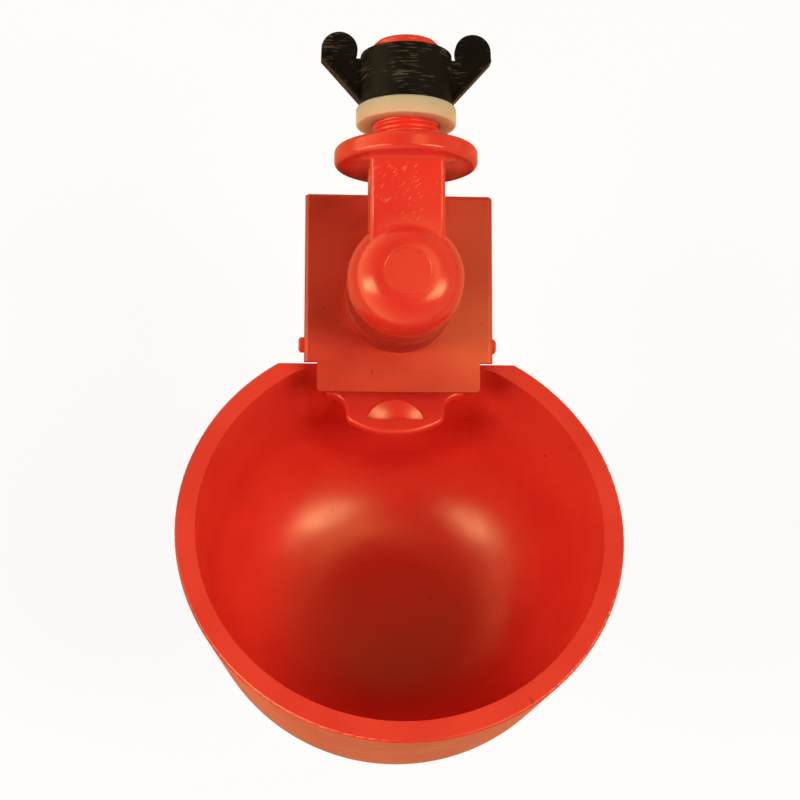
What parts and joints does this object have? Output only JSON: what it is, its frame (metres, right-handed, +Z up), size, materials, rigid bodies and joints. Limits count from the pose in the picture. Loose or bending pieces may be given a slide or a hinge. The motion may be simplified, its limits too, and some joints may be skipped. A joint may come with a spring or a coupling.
{
  "type": "poultry drinking cup",
  "caption": "Round drinking cup that tilts under a hood on moulded stubs to work a water valve, fed by a domed elbow whose threaded stem clamps in a wall with a wing nut.",
  "frame": {"origin": "on the stem's axis, in the flange face that meets the tank wall", "axes": "+Y along the stem, away from the cup, +Z up, +X across the cup"},
  "size_m": [0.0818, 0.1323, 0.0739],
  "materials": {
    "red_plastic": "smooth moulded, glossy",
    "black_plastic": "moulded, satin, lightly scuffed",
    "pale_washer": "soft translucent silicone",
    "pad_rubber": "smooth dark rubber",
    "seal_rubber": "smooth dark rubber",
    "spring_steel": "bright drawn stainless wire"
  },
  "bodies": {
    "root": {"elbow": "red_plastic", "elbow_seal": "seal_rubber", "hood": "red_plastic", "lift_springs": "spring_steel"},
    "cup": {"cup": "red_plastic", "valve_pad": "pad_rubber"},
    "washer": {"washer": "pale_washer"},
    "nut": {"wing_nut": "black_plastic"}
  },
  "joints": [
    {"name": "cup_tilt", "type": "hinge", "parent": "root", "child": "cup", "pos_m": [0, -0.0318, -0.0245], "axis": [1, 0, 0], "range_deg": [0, 24.5], "stiffness_Nm_per_rad": 0.0556, "springref_deg": -16.39, "deforming": ["lift_springs"]},
    {"name": "washer_slide", "type": "slide", "parent": "root", "child": "washer", "axis": [0, 1, 0], "range_m": [-0.0042, 0.0104]},
    {"name": "nut_spin", "type": "hinge", "parent": "washer", "child": "nut", "pos_m": [0, 0.0124, 0], "axis": [0, 1, 0], "range_deg": [-1010, 2498]}
  ],
  "couplings": [
    {"joint": "nut_spin", "follows": "washer_slide", "rad_per_m": 4188.8}
  ]
}
